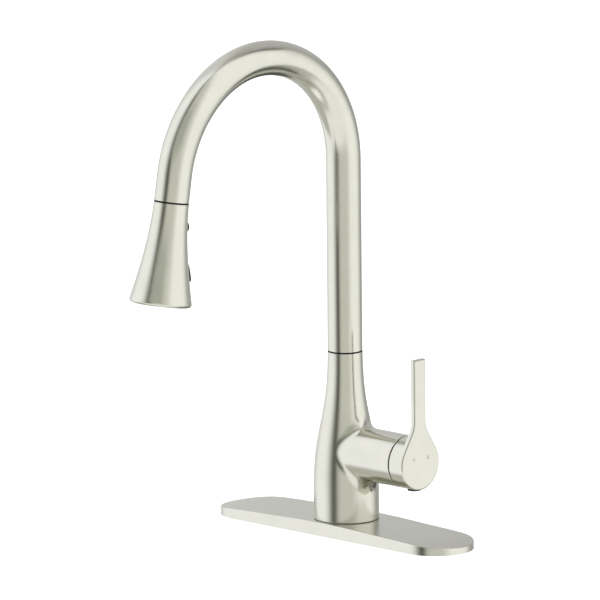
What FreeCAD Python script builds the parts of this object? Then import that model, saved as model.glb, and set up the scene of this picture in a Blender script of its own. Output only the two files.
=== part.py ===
"""Pull-down kitchen faucet: one solid or group of solids per STEP file, in millimetres.

Frame: +Z is up the column's axis, +X runs along the deck plate towards the handle, -Y is the way the
spout reaches. The origin is where the column's axis meets the deck that the faucet stands on.
"""
import FreeCAD, Part
import math
import os

V = FreeCAD.Vector
X_AXIS, Y_AXIS, Z_AXIS = V(1, 0, 0), V(0, 1, 0), V(0, 0, 1)
ORIGIN = V(0, 0, 0)

# ---- driving dimensions -------------------------------------------------------------------------
# Deck plate
PLATE_LENGTH = 252.0
PLATE_WIDTH = 58.6
PLATE_TOP = 10.6          # height of the crown at the middle
PLATE_END_TOP = 5.1       # height of the crown just past the two tips
PLATE_CROWN = [(27.0, 10.35), (60.0, 9.25), (95.0, 8.05), (112.0, 6.9)]   # distance, height
PLATE_WALL = 1.6
PLATE_EDGE_ROUND = 0.9
PLATE_SEAT_DEPTH = 0.3    # shallow round seat for the base seal
LINER_THICK = 2.4
GASKET_THICK = 1.5
GASKET_INSET = 2.6

# Mounting shank
SHANK_RADIUS = 16.5
SHANK_TOP_RADIUS = 16.2
SHANK_BORE = 14.3
SHANK_BELOW = 60.0
SHANK_IN_BODY = 28.0
DECK_HOLE_RADIUS = 17.4

# Body casting
BASE_SEAL_THICK = 0.6
BASE_RADIUS = 25.5
BODY_TAPER_FROM = 33.0
BODY_TOP_RADIUS = 13.7
BODY_TOP = 142.8
HOSE_PASSAGE = 7.2
SWIVEL_BORE = 11.9
SWIVEL_FLOOR = 97.0
HOUSING_RADIUS = 20.7
HOUSING_END = 65.2        # distance of the housing's end face from the column's axis
AXIS_HEIGHT = 64.3        # height of the valve's axis
HOUSING_BLEND = 12.0

# Valve cartridge, measured along X from the column's axis
SEAT_FLOOR = 19.0
SEAT_BORE = 17.8
CARTRIDGE_RADIUS = 17.4
CARTRIDGE_START = 20.6
CARTRIDGE_BASE_END = 26.0
CARTRIDGE_END = 50.0
PIVOT_X = 39.0            # the lever stem tips about this point
NUT_END = 59.5
DOME_RADIUS = 32.6        # outer sphere of the dome cap, centred on the pivot
DOME_HOLE = 15.4
DOME_WALL = 1.2

# Handle
HUB_START = 66.4
HUB_SKIRT = 19.5          # inner radius of the thin skirt
LEVER_BACK = 76.9
LEVER_FRONT = 81.1
LEVER_HALF_WIDTH = 6.3
LEVER_TOP = 146.9
LEVER_FLANK_ANGLE = 32.0  # how far the disc's flanks lean in towards the blade
LEVER_NECK_RADIUS = 17.0
LEVER_EDGE_ROUND = 1.4
SCREW_X = 73.6
SCREW_RADIUS = 1.95
PLUG_RADIUS = 5.2
PLUG_PROUD = 0.9
MARK_HEIGHT = 4.7         # above the valve's axis
MARK_OFFSET = 7.8
MARK_DEPTH = 0.3

# Spout
TUBE_RADIUS = 13.6
TUBE_WALL = 1.4
SWIVEL_RING_THICK = 1.3
BEND_START = 295.1
BEND_RADIUS_REAR = 91.9
BEND_SPLIT = 68.3         # angle turned where the rear bend passes to the front bend
BEND_RADIUS_FRONT = 94.6
BEND_TOTAL = 170.16
OUTLET_STRAIGHT = 19.3    # straight stretch after the bend, down to the dock's black ring
STEM_RADIUS = 11.4
STEM_BOTTOM = 99.0
STEM_IN_TUBE = 164.0
HOSE_RADIUS = 5.75
HOSE_BORE = 3.6
HOSE_END_Z = -52.0

# Spray head, measured along its own axis down from the dock ring
DOCK_RING_THICK = 1.3
HEAD_LENGTH = 80.4
HEAD_RIM_RADIUS = 24.3
HEAD_WALL = 1.7
HEAD_LIP = 1.6            # how far the lip turns in
HEAD_LIP_ROUND = 2.8
ROCKER_TOP = 14.5
ROCKER_BOTTOM = 61.3
ROCKER_HALF_WIDTH = 7.2    # at its top
ROCKER_FOOT_HALF_WIDTH = 8.6
ROCKER_GAP = 0.4          # round its sides and top
ROCKER_FOOT_GAP = 0.8     # below its foot, which swings down a little as it tilts
ROCKER_PIVOT_T = 36.0
ROCKER_PIN_RADIUS = 0.6
ROCKER_PIN_DEPTH = 2.9     # under the bell's flank

PARTS = {}


# ---- helpers ------------------------------------------------------------------------------------
def cyl(radius, z0, z1, x=0.0, y=0.0):
    """A cylinder along Z from height z0 to height z1."""
    return Part.makeCylinder(radius, z1 - z0, V(x, y, z0), Z_AXIS)


def cyl_x(radius, x0, x1, y=0.0, z=AXIS_HEIGHT):
    """A cylinder along X at the valve's height."""
    return Part.makeCylinder(radius, x1 - x0, V(x0, y, z), X_AXIS)


def ring(outer, inner, z0, z1):
    """A plain ring around Z."""
    return cyl(outer, z0, z1).cut(cyl(inner, z0 - 1, z1 + 1))


def ring_x(outer, inner, x0, x1):
    """A plain ring around the valve's axis."""
    return cyl_x(outer, x0, x1).cut(cyl_x(inner, x0 - 1, x1 + 1))


def box(x0, x1, y0, y1, z0, z1):
    """A box between two corners."""
    return Part.makeBox(x1 - x0, y1 - y0, z1 - z0, V(x0, y0, z0))


def polygon_face(points):
    """A flat face inside a closed polygon."""
    return Part.Face(Part.makePolygon(points + [points[0]]))


def turned(profile, axis_point=ORIGIN, axis=Z_AXIS):
    """A solid turned from a closed profile of (radius, height) pairs around Z."""
    face = polygon_face([V(r, 0, z) for r, z in profile])
    return face.revolve(axis_point, axis, 360)


def turned_edges(edges):
    """A solid turned from a closed chain of edges that lie in the XZ plane."""
    return Part.Face(Part.Wire(edges)).revolve(ORIGIN, Z_AXIS, 360)


def bezier(points):
    """A Bezier edge through (radius, height) control points in the XZ plane."""
    curve = Part.BezierCurve()
    curve.setPoles([V(r, 0, z) for r, z in points])
    return curve.toShape()


def line(a, b):
    """A straight edge between two (radius, height) points in the XZ plane."""
    return Part.makeLine(V(a[0], 0, a[1]), V(b[0], 0, b[1]))


def torus(centre_radius, wire_radius, z):
    """An O-ring around Z."""
    return Part.makeTorus(centre_radius, wire_radius, V(0, 0, z), Z_AXIS)


def rounded(shape, edges, radius):
    """The shape with those edges rounded, or as it was if the rounding cannot be made."""
    try:
        done = shape.makeFillet(radius, edges)
        if done.isValid() and done.Volume > 0:
            return done
    except Part.OCCError:
        pass
    print("not rounded: radius", radius, "on", len(edges), "edges")
    return shape


def keep(name, shape):
    """Stores one named node as a compound of its solids."""
    solids = shape.Solids
    if not solids:
        raise ValueError(name + " has no solid")
    PARTS[name] = solids[0] if len(solids) == 1 else Part.makeCompound(solids)


def stadium(length, width, z):
    """A flat face with two straight sides and half-round ends, centred on the axis."""
    r = width / 2.0
    h = length / 2.0 - r
    edges = [
        Part.makeLine(V(-h, -r, z), V(h, -r, z)),
        Part.Arc(V(h, -r, z), V(h + r, 0, z), V(h, r, z)).toShape(),
        Part.makeLine(V(h, r, z), V(-h, r, z)),
        Part.Arc(V(-h, r, z), V(-h - r, 0, z), V(-h, -r, z)).toShape(),
    ]
    return Part.Face(Part.Wire(edges))


def under_crown(drop):
    """Everything below the plate's crowned top, lowered by drop."""
    half = PLATE_LENGTH / 2.0 + 1.0
    side = PLATE_WIDTH
    low = PLATE_END_TOP - drop
    rise = PLATE_CROWN + [(half, PLATE_END_TOP)]
    profile = [(-x, z) for x, z in reversed(rise)] + [(0.0, PLATE_TOP)] + rise
    crown = Part.BSplineCurve()
    crown.interpolate([V(x, -side, z - drop) for x, z in profile])
    edges = [
        crown.toShape(),
        Part.makeLine(V(half, -side, low), V(half, -side, -1)),
        Part.makeLine(V(half, -side, -1), V(-half, -side, -1)),
        Part.makeLine(V(-half, -side, -1), V(-half, -side, low)),
    ]
    return Part.Face(Part.Wire(edges)).extrude(V(0, 2 * side, 0))


# ---- deck plate and what lies under it ----------------------------------------------------------
def make_deck():
    """Crowned cover plate, its plastic liner and the foam gasket under it."""
    outer = stadium(PLATE_LENGTH, PLATE_WIDTH, 0).extrude(V(0, 0, PLATE_TOP + 2))
    outer = outer.common(under_crown(0.0))
    rim = [e for e in outer.Edges if e.BoundBox.ZMin > PLATE_END_TOP - 1.0]
    outer = rounded(outer, rim, PLATE_EDGE_ROUND)
    inner = stadium(PLATE_LENGTH - 2 * PLATE_WALL, PLATE_WIDTH - 2 * PLATE_WALL, -1)
    inner = inner.extrude(V(0, 0, PLATE_TOP + 2)).common(under_crown(PLATE_WALL))
    plate = outer.cut(inner)
    plate = plate.cut(cyl(DECK_HOLE_RADIUS, -1, PLATE_TOP + 1))
    seat_radius = BASE_RADIUS - 0.4
    plate = plate.cut(cyl(seat_radius, PLATE_TOP - PLATE_SEAT_DEPTH, PLATE_TOP + 2))
    keep("deck_plate", plate)

    gap = PLATE_WALL + 0.2
    liner = stadium(PLATE_LENGTH - 2 * gap, PLATE_WIDTH - 2 * gap, GASKET_THICK)
    liner = liner.extrude(V(0, 0, LINER_THICK)).common(under_crown(PLATE_WALL + 0.2))
    collar_top = PLATE_TOP - PLATE_SEAT_DEPTH - PLATE_WALL - 0.1
    collar = ring(DECK_HOLE_RADIUS + 4.0, DECK_HOLE_RADIUS, GASKET_THICK, collar_top)
    liner = liner.fuse(collar)
    for side in (-1, 1):
        for place in (45.0, 80.0):
            rib = box(side * place - 0.8, side * place + 0.8, -20, 20, GASKET_THICK, PLATE_TOP)
            liner = liner.fuse(rib.common(under_crown(PLATE_WALL + 0.2)))
    spine = box(-100, 100, -0.8, 0.8, GASKET_THICK, PLATE_TOP).common(under_crown(PLATE_WALL + 0.2))
    liner = liner.fuse(spine).cut(cyl(DECK_HOLE_RADIUS, -1, PLATE_TOP + 1))
    keep("plate_liner", liner.removeSplitter())

    gasket = stadium(PLATE_LENGTH - 2 * GASKET_INSET, PLATE_WIDTH - 2 * GASKET_INSET, 0)
    gasket = gasket.extrude(V(0, 0, GASKET_THICK)).cut(cyl(DECK_HOLE_RADIUS, -1, 5))
    keep("deck_gasket", gasket)


# ---- body casting -------------------------------------------------------------------------------
BODY_BOTTOM = PLATE_TOP - PLATE_SEAT_DEPTH + BASE_SEAL_THICK
STUB_RADIUS = 3.0
STUB_BORE = 2.0
STUB_CIRCLE = 11.1
STUB_TOP = SHANK_IN_BODY + 8.0
STUB_ANGLES = {"hot_inlet_stub": 42.0, "mixed_outlet_stub": 0.0, "cold_inlet_stub": -42.0}


def stub_place(angle):
    """Where a water stub stands, around the column's axis."""
    a = math.radians(angle)
    return STUB_CIRCLE * math.cos(a), STUB_CIRCLE * math.sin(a)


def make_body():
    """The brass body: tapered column, side housing for the valve, and its bores."""
    taper = bezier([
        (BASE_RADIUS, BODY_TAPER_FROM),
        (BASE_RADIUS, BODY_TAPER_FROM + 51.5),
        (BODY_TOP_RADIUS + 0.1, BODY_TOP - 55.0),
        (BODY_TOP_RADIUS, BODY_TOP),
    ])
    column = turned_edges([
        line((0, BODY_BOTTOM), (BASE_RADIUS, BODY_BOTTOM)),
        line((BASE_RADIUS, BODY_BOTTOM), (BASE_RADIUS, BODY_TAPER_FROM)),
        taper,
        line((BODY_TOP_RADIUS, BODY_TOP), (0, BODY_TOP)),
        line((0, BODY_TOP), (0, BODY_BOTTOM)),
    ])
    housing = cyl_x(HOUSING_RADIUS, 2.0, HOUSING_END)
    body = column.fuse(housing)
    seam = []
    for e in body.Edges:
        b = e.BoundBox
        inside = 1.0 < b.XMin and b.XMax < HOUSING_END - 5.0
        if inside and b.ZMin > AXIS_HEIGHT - HOUSING_RADIUS - 1 and b.ZLength > 2.0:
            seam.append(e)
    body = rounded(body, seam, HOUSING_BLEND)
    ends = [e for e in body.Edges if abs(e.BoundBox.XMin - HOUSING_END) < 0.01
            and e.BoundBox.XLength < 0.01]
    body = rounded(body, ends, 0.35)
    foot = [e for e in body.Edges if e.BoundBox.ZLength < 0.01
            and abs(e.BoundBox.ZMin - BODY_BOTTOM) < 0.01]
    body = rounded(body, foot, 0.35)

    body = body.cut(cyl(HOSE_PASSAGE, BODY_BOTTOM - 1, BODY_TOP + 1))
    body = body.cut(cyl(SHANK_TOP_RADIUS + 0.05, BODY_BOTTOM - 1, SHANK_IN_BODY))
    body = body.cut(cyl(SWIVEL_BORE, SWIVEL_FLOOR, BODY_TOP + 1))
    groove = ring(SWIVEL_BORE + 0.8, SWIVEL_BORE - 1, SNAP_Z - 0.8, SNAP_Z + 0.8)
    body = body.cut(groove)
    body = body.cut(cyl_x(SEAT_BORE, SEAT_FLOOR, HOUSING_END + 1))
    for angle in STUB_ANGLES.values():
        px, py = stub_place(angle)
        body = body.cut(cyl(STUB_RADIUS + 0.03, SHANK_IN_BODY - 1, STUB_TOP, px, py))
        body = body.cut(cyl(STUB_BORE, STUB_TOP - 1, AXIS_HEIGHT, px, py))
        body = body.cut(cyl_x(STUB_BORE, px, SEAT_FLOOR + 1, py, AXIS_HEIGHT))
    keep("body_casting", body)
    keep("base_seal", ring(BASE_RADIUS - 0.5, DECK_HOLE_RADIUS + 0.6,
                           PLATE_TOP - PLATE_SEAT_DEPTH, BODY_BOTTOM))


def make_shank():
    """Threaded mounting tube and the three water stubs that pass down it."""
    shank = cyl(SHANK_RADIUS, -SHANK_BELOW, 0.0).fuse(cyl(SHANK_TOP_RADIUS, 0.0, SHANK_IN_BODY))
    tip = [e for e in shank.Edges if abs(e.BoundBox.ZMax + SHANK_BELOW) < 0.01]
    shank = rounded(shank, tip, 0.6)
    keep("mounting_shank", shank.cut(cyl(SHANK_BORE, -SHANK_BELOW - 1, SHANK_IN_BODY + 1)))
    for name, angle in STUB_ANGLES.items():
        px, py = stub_place(angle)
        stub = cyl(STUB_RADIUS, -SHANK_BELOW + 8, STUB_TOP, px, py)
        keep(name, stub.cut(cyl(STUB_BORE, -SHANK_BELOW, STUB_TOP + 1, px, py)))


# ---- valve cartridge ----------------------------------------------------------------------------
DISC_FACE = 29.0
DISC_BACK = 32.0
CARRIER_BACK = 35.6
BALL_X = 34.9
LEVER_STEM_RADIUS = 3.2
ROTOR_RADIUS = 13.6
ROTOR_START = 36.5
ROTOR_END = 46.6
CHAMBER_RADIUS = 14.2


def make_cartridge():
    """Ceramic-disc cartridge: seals, base, fixed disc, casing, nut and dome."""
    seals = []
    for angle in STUB_ANGLES.values():
        _, py = stub_place(angle)
        ports = ring_x(STUB_BORE + 1.2, STUB_BORE, SEAT_FLOOR, CARTRIDGE_START)
        ports.translate(V(0, py, 0))
        seals.append(ports)
    keep("cartridge_seals", Part.makeCompound(seals))

    base = cyl_x(CARTRIDGE_RADIUS, CARTRIDGE_START, CARTRIDGE_BASE_END)
    fixed = cyl_x(12.4, CARTRIDGE_BASE_END, DISC_FACE)
    for angle in STUB_ANGLES.values():
        _, py = stub_place(angle)
        hole = cyl_x(STUB_BORE, CARTRIDGE_START - 1, DISC_FACE + 1, py)
        base = base.cut(hole)
        fixed = fixed.cut(hole)
    keep("cartridge_base", base)
    keep("fixed_ceramic_disc", fixed)

    casing = cyl_x(CARTRIDGE_RADIUS, CARTRIDGE_BASE_END, CARTRIDGE_END)
    casing = casing.cut(cyl_x(CHAMBER_RADIUS, CARTRIDGE_BASE_END - 1, CARTRIDGE_END - 3.0))
    casing = casing.cut(cyl_x(10.2, CARTRIDGE_END - 4, CARTRIDGE_END + 1))
    locator = ring_x(CHAMBER_RADIUS + 0.5, 12.5, CARTRIDGE_BASE_END, DISC_FACE - 0.5)
    keep("cartridge_casing", casing.fuse(locator).removeSplitter())

    nut = ring_x(SEAT_BORE - 0.1, 12.6, CARTRIDGE_END, NUT_END)
    for k in range(6):
        notch = box(NUT_END - 2.5, NUT_END + 1, -2, 2, AXIS_HEIGHT + 14.6, AXIS_HEIGHT + 25)
        notch.rotate(V(0, 0, AXIS_HEIGHT), X_AXIS, 60 * k)
        nut = nut.cut(notch)
    keep("retaining_nut", nut)

    centre = V(PIVOT_X, 0, AXIS_HEIGHT)
    shell = Part.makeSphere(DOME_RADIUS, centre).cut(Part.makeSphere(DOME_RADIUS - DOME_WALL, centre))
    shell = shell.common(cyl_x(SEAT_BORE + 2, HOUSING_END, HOUSING_END + 20))
    skirt = ring_x(SEAT_BORE - 0.1, SEAT_BORE - DOME_WALL - 0.1, NUT_END + 0.1, HOUSING_END + 0.3)
    dome = shell.fuse(skirt).cut(cyl_x(DOME_HOLE, HOUSING_END - 6, HOUSING_END + 20))
    keep("dome_cap", dome.removeSplitter())

    rotor = cyl_x(ROTOR_RADIUS, ROTOR_START, ROTOR_END)
    slot_half = LEVER_STEM_RADIUS + 0.35
    rotor = rotor.cut(box(DISC_BACK, CARTRIDGE_END, -slot_half, slot_half,
                          AXIS_HEIGHT - 9.5, AXIS_HEIGHT + 9.5))
    pin_hole = Part.makeCylinder(1.3, 40, V(PIVOT_X, -20, AXIS_HEIGHT), Y_AXIS)
    keep("cartridge_rotor", rotor.cut(pin_hole))
    pin = Part.makeCylinder(1.25, 22, V(PIVOT_X, -11, AXIS_HEIGHT), Y_AXIS)
    keep("stem_pivot_pin", pin)

    disc = cyl_x(9.8, DISC_FACE + 0.03, DISC_BACK)
    groove = box(DISC_FACE - 1, DISC_FACE + 1.4, -8.4, 8.4, AXIS_HEIGHT - 2.6, AXIS_HEIGHT + 2.6)
    keep("moving_ceramic_disc", disc.cut(groove))
    carrier = cyl_x(10.4, DISC_BACK, CARRIER_BACK)
    pocket = box(BALL_X - 2.4, CARRIER_BACK + 1, -2.4, 2.4, AXIS_HEIGHT - 2.4, AXIS_HEIGHT + 2.4)
    keep("disc_carrier", carrier.cut(pocket))


# ---- handle -------------------------------------------------------------------------------------
def lever_outline():
    """The lever's outline in the YZ plane: a disc drawn up through two flanks into a narrow blade."""
    r, w = HOUSING_RADIUS, LEVER_HALF_WIDTH
    a = math.radians(LEVER_FLANK_ANGLE)
    touch = (r * math.cos(a), AXIS_HEIGHT + r * math.sin(a))
    reach = (touch[0] - w) / math.sin(a)
    corner_z = touch[1] + reach * math.cos(a)
    cut_back = LEVER_NECK_RADIUS * math.tan(a / 2)
    low = (w + cut_back * math.sin(a), corner_z - cut_back * math.cos(a))
    high = (w, corner_z + cut_back)
    centre = (w + LEVER_NECK_RADIUS, high[1])
    mid_angle = math.pi - a / 2
    mid = (centre[0] + LEVER_NECK_RADIUS * math.cos(mid_angle),
           centre[1] - LEVER_NECK_RADIUS * math.sin(mid_angle))
    x = LEVER_BACK

    def p(y, z):
        return V(x, y, z)

    edges = []
    edges.append(Part.Arc(p(-touch[0], touch[1]), p(0, AXIS_HEIGHT - r), p(*touch)).toShape())
    edges.append(Part.makeLine(p(*touch), p(*low)))
    edges.append(Part.Arc(p(*low), p(*mid), p(*high)).toShape())
    edges.append(Part.makeLine(p(*high), p(w, LEVER_TOP)))
    edges.append(Part.makeLine(p(w, LEVER_TOP), p(-w, LEVER_TOP)))
    edges.append(Part.makeLine(p(-w, LEVER_TOP), p(-high[0], high[1])))
    edges.append(Part.Arc(p(-high[0], high[1]), p(-mid[0], mid[1]), p(-low[0], low[1])).toShape())
    edges.append(Part.makeLine(p(-low[0], low[1]), p(-touch[0], touch[1])))
    return Part.Face(Part.Wire(edges))


def star_mark(depth_from, depth_to):
    """Six-armed star, the cold sign."""
    star = None
    for k in range(3):
        arm = box(depth_from, depth_to, -0.25, 0.25, AXIS_HEIGHT - 1.9, AXIS_HEIGHT + 1.9)
        arm.rotate(V(0, 0, AXIS_HEIGHT), X_AXIS, 60 * k)
        star = arm if star is None else star.fuse(arm)
    star.translate(V(0, -MARK_OFFSET, MARK_HEIGHT))
    return star.removeSplitter()


def flame_mark(depth_from, depth_to):
    """A drop-shaped flame, the hot sign."""
    z = AXIS_HEIGHT + MARK_HEIGHT
    x = depth_from
    curve_left = Part.BezierCurve()
    curve_left.setPoles([V(x, MARK_OFFSET, z + 2.1), V(x, MARK_OFFSET - 1.0, z + 0.6),
                         V(x, MARK_OFFSET - 2.2, z - 1.9), V(x, MARK_OFFSET, z - 1.9)])
    curve_right = Part.BezierCurve()
    curve_right.setPoles([V(x, MARK_OFFSET, z - 1.9), V(x, MARK_OFFSET + 2.2, z - 1.9),
                          V(x, MARK_OFFSET + 1.0, z + 0.6), V(x, MARK_OFFSET, z + 2.1)])
    face = Part.Face(Part.Wire([curve_left.toShape(), curve_right.toShape()]))
    return face.extrude(V(depth_to - depth_from, 0, 0))


def make_handle():
    """The lever casting with its hub, the stem it clamps, its screw, plug and the two signs."""
    lever = lever_outline().extrude(V(LEVER_FRONT - LEVER_BACK, 0, 0))
    front = [e for e in lever.Edges if abs(e.BoundBox.XMin - LEVER_FRONT) < 0.01]
    lever = rounded(lever, front, LEVER_EDGE_ROUND)
    skirt = ring_x(HOUSING_RADIUS, HUB_SKIRT, HUB_START, LEVER_BACK)
    rear = [e for e in skirt.Edges if abs(e.BoundBox.XMax - HUB_START) < 0.01
            and e.BoundBox.ZLength > 2 * HUB_SKIRT + 1]
    skirt = rounded(skirt, rear, 0.35)
    boss = cyl_x(7.4, HUB_START, LEVER_BACK)
    boss = boss.fuse(Part.makeCylinder(PLUG_RADIUS + 1.4, 19.4, V(SCREW_X, 0, AXIS_HEIGHT), -Z_AXIS))
    boss = boss.cut(Part.makeSphere(DOME_RADIUS + 1.4, V(PIVOT_X, 0, AXIS_HEIGHT)))
    hub = lever.fuse(skirt).fuse(boss).removeSplitter()
    hub = hub.cut(cyl_x(LEVER_STEM_RADIUS + 0.03, HUB_START - 1, LEVER_BACK + 1.5))
    plug_hole = Part.makeCylinder(PLUG_RADIUS + 0.03, 8, V(SCREW_X, 0, AXIS_HEIGHT - 16.0), -Z_AXIS)
    screw_hole = Part.makeCylinder(SCREW_RADIUS + 0.05, 14, V(SCREW_X, 0, AXIS_HEIGHT - 2.0), -Z_AXIS)
    hub = hub.cut(plug_hole).cut(screw_hole)
    face = LEVER_FRONT - MARK_DEPTH
    star = star_mark(face, LEVER_FRONT)
    flame = flame_mark(face, LEVER_FRONT)
    hub = hub.cut(star).cut(flame)
    keep("lever_handle", hub)
    keep("cold_mark", star)
    keep("hot_mark", flame)

    ball = Part.makeSphere(2.0, V(BALL_X, 0, AXIS_HEIGHT))
    stem = cyl_x(1.5, BALL_X, PIVOT_X - 1.0)
    stem = stem.fuse(cyl_x(LEVER_STEM_RADIUS, PIVOT_X - 2.0, LEVER_BACK + 1.2)).fuse(ball)
    stem = stem.cut(Part.makeCylinder(1.3, 20, V(PIVOT_X, -10, AXIS_HEIGHT), Y_AXIS))
    flat = box(SCREW_X - 3, SCREW_X + 3, -5, 5, AXIS_HEIGHT - 5, AXIS_HEIGHT - LEVER_STEM_RADIUS + 0.5)
    keep("valve_stem", stem.cut(flat))

    screw_top = AXIS_HEIGHT - LEVER_STEM_RADIUS + 0.5
    screw = Part.makeCylinder(SCREW_RADIUS, 6.5, V(SCREW_X, 0, screw_top), -Z_AXIS)
    hexagon = [V(SCREW_X + 1.1 * math.cos(math.radians(60 * k)),
                 1.1 * math.sin(math.radians(60 * k)), screw_top - 7) for k in range(6)]
    screw = screw.cut(polygon_face(hexagon).extrude(V(0, 0, 3.5)))
    keep("handle_set_screw", screw)
    plug_top = AXIS_HEIGHT - 17.2
    plug_length = HOUSING_RADIUS + PLUG_PROUD - 17.2
    plug = Part.makeCylinder(PLUG_RADIUS, plug_length, V(SCREW_X, 0, plug_top), -Z_AXIS)
    low = [e for e in plug.Edges if abs(e.BoundBox.ZMax - (plug_top - plug_length)) < 0.01]
    keep("set_screw_plug", rounded(plug, low, 0.5))


# ---- spout --------------------------------------------------------------------------------------
SNAP_Z = 106.0
TUBE_BOTTOM = BODY_TOP + SWIVEL_RING_THICK


def bend_points():
    """Centre line of the bend as (start, middle, end) triples of (y, z), and the way it leaves."""
    def arc(centre, radius, a0, a1):
        out = []
        for a in (a0, (a0 + a1) / 2, a1):
            t = math.radians(a)
            out.append((centre[0] + radius * math.cos(t), centre[1] + radius * math.sin(t)))
        return out

    rear = arc((-BEND_RADIUS_REAR, BEND_START), BEND_RADIUS_REAR, 0, BEND_SPLIT)
    t = math.radians(BEND_SPLIT)
    centre = (rear[2][0] - BEND_RADIUS_FRONT * math.cos(t),
              rear[2][1] - BEND_RADIUS_FRONT * math.sin(t))
    front = arc(centre, BEND_RADIUS_FRONT, BEND_SPLIT, BEND_TOTAL)
    t = math.radians(BEND_TOTAL)
    return rear, front, (-math.sin(t), math.cos(t))


REAR_BEND, FRONT_BEND, OUTLET_WAY = bend_points()
DOCK_Y = FRONT_BEND[2][0] + OUTLET_WAY[0] * OUTLET_STRAIGHT
DOCK_Z = FRONT_BEND[2][1] + OUTLET_WAY[1] * OUTLET_STRAIGHT
HEAD_TILT = 180.0 - BEND_TOTAL


def centre_line(z_bottom, past_bend):
    """The wire up the column, round the bend and down its straight end."""
    def p(point):
        return V(0, point[0], point[1])

    end = (FRONT_BEND[2][0] + OUTLET_WAY[0] * past_bend, FRONT_BEND[2][1] + OUTLET_WAY[1] * past_bend)
    return Part.Wire([
        Part.makeLine(V(0, 0, z_bottom), p(REAR_BEND[0])),
        Part.Arc(*[p(q) for q in REAR_BEND]).toShape(),
        Part.Arc(*[p(q) for q in FRONT_BEND]).toShape(),
        Part.makeLine(p(FRONT_BEND[2]), p(end)),
    ])


def swept_rod(radius, z_bottom, past_bend):
    """A round bar along the centre line."""
    path = centre_line(z_bottom, past_bend)
    circle = Part.Wire(Part.Circle(V(0, 0, z_bottom), Z_AXIS, radius).toShape())
    return path.makePipeShell([circle], True, False)


def in_head(shape):
    """Carries a shape from the head's own frame (dock ring at z 0, outlet downwards) into place."""
    shape.rotate(ORIGIN, X_AXIS, -HEAD_TILT)
    shape.translate(V(0, DOCK_Y, DOCK_Z))
    return shape


def make_spout():
    """The gooseneck, its swivel joint in the body, and the dock bush in its mouth."""
    tube = swept_rod(TUBE_RADIUS, TUBE_BOTTOM, OUTLET_STRAIGHT)
    hollow = swept_rod(TUBE_RADIUS - TUBE_WALL, TUBE_BOTTOM - 2, OUTLET_STRAIGHT + 2)
    keep("spout_tube", tube.cut(hollow))

    tube_fit = TUBE_RADIUS - TUBE_WALL - 0.05
    stem = turned([
        (8.4, STEM_BOTTOM), (STEM_RADIUS, STEM_BOTTOM), (STEM_RADIUS, TUBE_BOTTOM),
        (tube_fit, TUBE_BOTTOM), (tube_fit, STEM_IN_TUBE), (8.4, STEM_IN_TUBE),
    ])
    for z in (117.0, 130.0):
        stem = stem.cut(ring(STEM_RADIUS + 1, STEM_RADIUS - 1.4, z - 1.3, z + 1.3))
    stem = stem.cut(ring(STEM_RADIUS + 1, STEM_RADIUS - 0.9, SNAP_Z - 0.7, SNAP_Z + 0.7))
    for z in (111.0, 137.0):
        stem = stem.cut(ring(STEM_RADIUS + 1, STEM_RADIUS - 0.6, z - 1.9, z + 1.9))
    keep("spout_stem", stem)
    orings = [torus(STEM_RADIUS - 1.4 + 0.92, 0.9, z) for z in (117.0, 130.0)]
    keep("swivel_orings", Part.makeCompound(orings))
    for name, z in (("lower_swivel_bush", 111.0), ("upper_swivel_bush", 137.0)):
        bush = ring(SWIVEL_BORE - 0.05, STEM_RADIUS - 0.55, z - 1.85, z + 1.85)
        split = box(0, 20, -0.5, 0.5, z - 3, z + 3)
        keep(name, bush.cut(split))
    clip = ring(SWIVEL_BORE + 0.6, STEM_RADIUS - 0.8, SNAP_Z - 0.6, SNAP_Z + 0.6)
    keep("spout_snap_ring", clip.cut(box(-20, 0, -4, 4, SNAP_Z - 3, SNAP_Z + 3)))
    keep("swivel_ring", ring(TUBE_RADIUS - 0.15, STEM_RADIUS + 0.05, BODY_TOP + 0.05, TUBE_BOTTOM))

    inner = TUBE_RADIUS - TUBE_WALL - 0.05
    bush = turned([
        (9.6, -DOCK_RING_THICK), (TUBE_RADIUS - 0.15, -DOCK_RING_THICK), (TUBE_RADIUS - 0.15, 0),
        (inner, 0), (inner, OUTLET_STRAIGHT - 1), (9.6, OUTLET_STRAIGHT - 1),
    ])
    for k in range(4):
        slit = box(0, 20, -0.8, 0.8, 6, OUTLET_STRAIGHT + 1)
        slit.rotate(ORIGIN, Z_AXIS, 45 + 90 * k)
        bush = bush.cut(slit)
    keep("dock_bush", in_head(bush))


# ---- hose ---------------------------------------------------------------------------------------
FERRULE_TOP = 13.0        # above the dock plane, in the head's frame
FERRULE_BOTTOM = 3.5
TAIL_SEAL_Z = -7.3


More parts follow.
